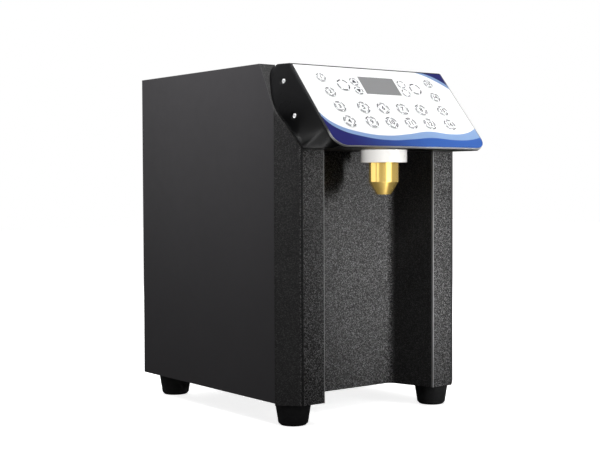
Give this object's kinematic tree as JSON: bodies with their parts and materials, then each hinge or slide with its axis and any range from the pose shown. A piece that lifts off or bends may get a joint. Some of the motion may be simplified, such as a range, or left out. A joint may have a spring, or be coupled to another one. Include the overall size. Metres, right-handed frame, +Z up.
{
  "type": "fructose dispenser",
  "caption": "Countertop syrup dispenser with a tilted control panel of round portion keys, a lidded inner tank, a gear pump and a brass nozzle over a cup bay.",
  "frame": {"origin": "centre of the footprint on the floor, under the feet", "axes": "+Z up, -Y towards the front with the control panel, +X to the right seen from the front"},
  "size_m": [0.3, 0.4109, 0.4499],
  "materials": {
    "cabinet_paint": "satin black powder coat",
    "front_paint": "coarse textured charcoal powder coat",
    "stainless": "brushed",
    "fasteners": "bright plated",
    "console_plastic": "gloss moulded",
    "plate_plastic": "satin",
    "overlay_film": "printed film",
    "key_caps": "satin",
    "display": "dark filter",
    "circuit_board": "solder mask",
    "collar_plastic": "moulded",
    "nozzle_brass": "polished",
    "hose": "translucent silicone",
    "pump_metal": "machined",
    "gear_steel": "ground",
    "motor_paint": "matte",
    "supply_case": "pressed sheet",
    "socket_plastic": "matte",
    "rocker_plastic": "gloss",
    "feet_rubber": "matte",
    "seal_rubber": "soft",
    "loom_sleeve": "braided"
  },
  "bodies": {
    "cabinet": {"base_pan": "cabinet_paint", "left_side_panel": "cabinet_paint", "right_side_panel": "cabinet_paint", "rear_panel": "cabinet_paint", "front_panel": "front_paint", "top_deck": "cabinet_paint", "hinge_pins": "fasteners", "syrup_tank": "stainless", "tank_outlet": "stainless", "temperature_probe": "stainless", "suction_hose": "hose", "delivery_hose": "hose", "hose_clamps": "fasteners", "pump_body": "pump_metal", "pump_cover": "pump_metal", "gear_motor": "motor_paint", "pump_bracket": "stainless", "power_supply": "supply_case", "mains_inlet": "socket_plastic", "power_switch_frame": "socket_plastic", "feet": "feet_rubber", "cabinet_screws": "fasteners", "console_housing": "console_plastic", "console_screws": "fasteners", "face_plate": "plate_plastic", "panel_overlay": "overlay_film", "display_module": "display", "control_board": "circuit_board", "nozzle_collar": "collar_plastic", "nozzle_tip": "nozzle_brass", "valve_spring": "gear_steel", "wiring_loom": "loom_sleeve"},
    "lid": {"lid": "cabinet_paint", "lid_seal": "seal_rubber"},
    "drive_gear": {"drive_gear": "gear_steel"},
    "idler_gear": {"idler_gear": "gear_steel"},
    "valve_poppet": {"valve_poppet": "gear_steel"},
    "power_rocker": {"power_rocker": "rocker_plastic"},
    "key_left_1": {"key_left_1": "key_caps"},
    "key_left_2": {"key_left_2": "key_caps"},
    "key_left_3": {"key_left_3": "key_caps"},
    "key_left_4": {"key_left_4": "key_caps"},
    "key_right_1": {"key_right_1": "key_caps"},
    "key_right_2": {"key_right_2": "key_caps"},
    "key_right_3": {"key_right_3": "key_caps"},
    "key_right_4": {"key_right_4": "key_caps"},
    "key_upper_1": {"key_upper_1": "key_caps"},
    "key_upper_2": {"key_upper_2": "key_caps"},
    "key_upper_3": {"key_upper_3": "key_caps"},
    "key_upper_4": {"key_upper_4": "key_caps"},
    "key_lower_1": {"key_lower_1": "key_caps"},
    "key_lower_2": {"key_lower_2": "key_caps"},
    "key_lower_3": {"key_lower_3": "key_caps"},
    "key_lower_4": {"key_lower_4": "key_caps"},
    "key_start": {"key_start": "key_caps"},
    "key_stop": {"key_stop": "key_caps"},
    "key_more": {"key_more": "key_caps"},
    "key_less": {"key_less": "key_caps"},
    "key_set": {"key_set": "key_caps"},
    "key_clear": {"key_clear": "key_caps"}
  },
  "joints": [
    {"name": "lid_hinge", "type": "hinge", "parent": "cabinet", "child": "lid", "pos_m": [0, 0.1789, 0.4476], "axis": [-1, 0, 0], "range_deg": [0, 100]},
    {"name": "drive_gear_spin", "type": "hinge", "parent": "cabinet", "child": "drive_gear", "pos_m": [-0.01213, -0.05, 0.12], "axis": [0, 1, 0], "continuous": true},
    {"name": "idler_gear_spin", "type": "hinge", "parent": "cabinet", "child": "idler_gear", "pos_m": [0.01213, -0.05, 0.12], "axis": [0, 1, 0], "continuous": true},
    {"name": "valve_lift", "type": "slide", "parent": "cabinet", "child": "valve_poppet", "axis": [0, 0, -1], "range_m": [0, 0.002], "stiffness_N_per_m": 300, "springref_m": -0.004, "deforming": ["valve_spring"]},
    {"name": "power_rocker_tilt", "type": "hinge", "parent": "cabinet", "child": "power_rocker", "pos_m": [-0.085, 0.2024, 0.122], "axis": [-1, 0, 0], "range_deg": [0, 24]},
    {"name": "key_left_1_press", "type": "slide", "parent": "cabinet", "child": "key_left_1", "axis": [0, 0.7597, -0.6503], "range_m": [0, 0.0005], "stiffness_N_per_m": 500, "springref_m": -0.002},
    {"name": "key_left_2_press", "type": "slide", "parent": "cabinet", "child": "key_left_2", "axis": [0, 0.7597, -0.6503], "range_m": [0, 0.0005], "stiffness_N_per_m": 500, "springref_m": -0.002},
    {"name": "key_left_3_press", "type": "slide", "parent": "cabinet", "child": "key_left_3", "axis": [0, 0.7597, -0.6503], "range_m": [0, 0.0005], "stiffness_N_per_m": 500, "springref_m": -0.002},
    {"name": "key_left_4_press", "type": "slide", "parent": "cabinet", "child": "key_left_4", "axis": [0, 0.7597, -0.6503], "range_m": [0, 0.0005], "stiffness_N_per_m": 500, "springref_m": -0.002},
    {"name": "key_right_1_press", "type": "slide", "parent": "cabinet", "child": "key_right_1", "axis": [0, 0.7597, -0.6503], "range_m": [0, 0.0005], "stiffness_N_per_m": 500, "springref_m": -0.002},
    {"name": "key_right_2_press", "type": "slide", "parent": "cabinet", "child": "key_right_2", "axis": [0, 0.7597, -0.6503], "range_m": [0, 0.0005], "stiffness_N_per_m": 500, "springref_m": -0.002},
    {"name": "key_right_3_press", "type": "slide", "parent": "cabinet", "child": "key_right_3", "axis": [0, 0.7597, -0.6503], "range_m": [0, 0.0005], "stiffness_N_per_m": 500, "springref_m": -0.002},
    {"name": "key_right_4_press", "type": "slide", "parent": "cabinet", "child": "key_right_4", "axis": [0, 0.7597, -0.6503], "range_m": [0, 0.0005], "stiffness_N_per_m": 500, "springref_m": -0.002},
    {"name": "key_upper_1_press", "type": "slide", "parent": "cabinet", "child": "key_upper_1", "axis": [0, 0.7597, -0.6503], "range_m": [0, 0.0005], "stiffness_N_per_m": 500, "springref_m": -0.002},
    {"name": "key_upper_2_press", "type": "slide", "parent": "cabinet", "child": "key_upper_2", "axis": [0, 0.7597, -0.6503], "range_m": [0, 0.0005], "stiffness_N_per_m": 500, "springref_m": -0.002},
    {"name": "key_upper_3_press", "type": "slide", "parent": "cabinet", "child": "key_upper_3", "axis": [0, 0.7597, -0.6503], "range_m": [0, 0.0005], "stiffness_N_per_m": 500, "springref_m": -0.002},
    {"name": "key_upper_4_press", "type": "slide", "parent": "cabinet", "child": "key_upper_4", "axis": [0, 0.7597, -0.6503], "range_m": [0, 0.0005], "stiffness_N_per_m": 500, "springref_m": -0.002},
    {"name": "key_lower_1_press", "type": "slide", "parent": "cabinet", "child": "key_lower_1", "axis": [0, 0.7597, -0.6503], "range_m": [0, 0.0005], "stiffness_N_per_m": 500, "springref_m": -0.002},
    {"name": "key_lower_2_press", "type": "slide", "parent": "cabinet", "child": "key_lower_2", "axis": [0, 0.7597, -0.6503], "range_m": [0, 0.0005], "stiffness_N_per_m": 500, "springref_m": -0.002},
    {"name": "key_lower_3_press", "type": "slide", "parent": "cabinet", "child": "key_lower_3", "axis": [0, 0.7597, -0.6503], "range_m": [0, 0.0005], "stiffness_N_per_m": 500, "springref_m": -0.002},
    {"name": "key_lower_4_press", "type": "slide", "parent": "cabinet", "child": "key_lower_4", "axis": [0, 0.7597, -0.6503], "range_m": [0, 0.0005], "stiffness_N_per_m": 500, "springref_m": -0.002},
    {"name": "key_start_press", "type": "slide", "parent": "cabinet", "child": "key_start", "axis": [0, 0.7597, -0.6503], "range_m": [0, 0.0005], "stiffness_N_per_m": 500, "springref_m": -0.002},
    {"name": "key_stop_press", "type": "slide", "parent": "cabinet", "child": "key_stop", "axis": [0, 0.7597, -0.6503], "range_m": [0, 0.0005], "stiffness_N_per_m": 500, "springref_m": -0.002},
    {"name": "key_more_press", "type": "slide", "parent": "cabinet", "child": "key_more", "axis": [0, 0.7597, -0.6503], "range_m": [0, 0.0005], "stiffness_N_per_m": 500, "springref_m": -0.002},
    {"name": "key_less_press", "type": "slide", "parent": "cabinet", "child": "key_less", "axis": [0, 0.7597, -0.6503], "range_m": [0, 0.0005], "stiffness_N_per_m": 500, "springref_m": -0.002},
    {"name": "key_set_press", "type": "slide", "parent": "cabinet", "child": "key_set", "axis": [0, 0.7597, -0.6503], "range_m": [0, 0.0005], "stiffness_N_per_m": 500, "springref_m": -0.002},
    {"name": "key_clear_press", "type": "slide", "parent": "cabinet", "child": "key_clear", "axis": [0, 0.7597, -0.6503], "range_m": [0, 0.0005], "stiffness_N_per_m": 500, "springref_m": -0.002}
  ],
  "couplings": [
    {"joint": "idler_gear_spin", "follows": "drive_gear_spin", "ratio": -1}
  ]
}
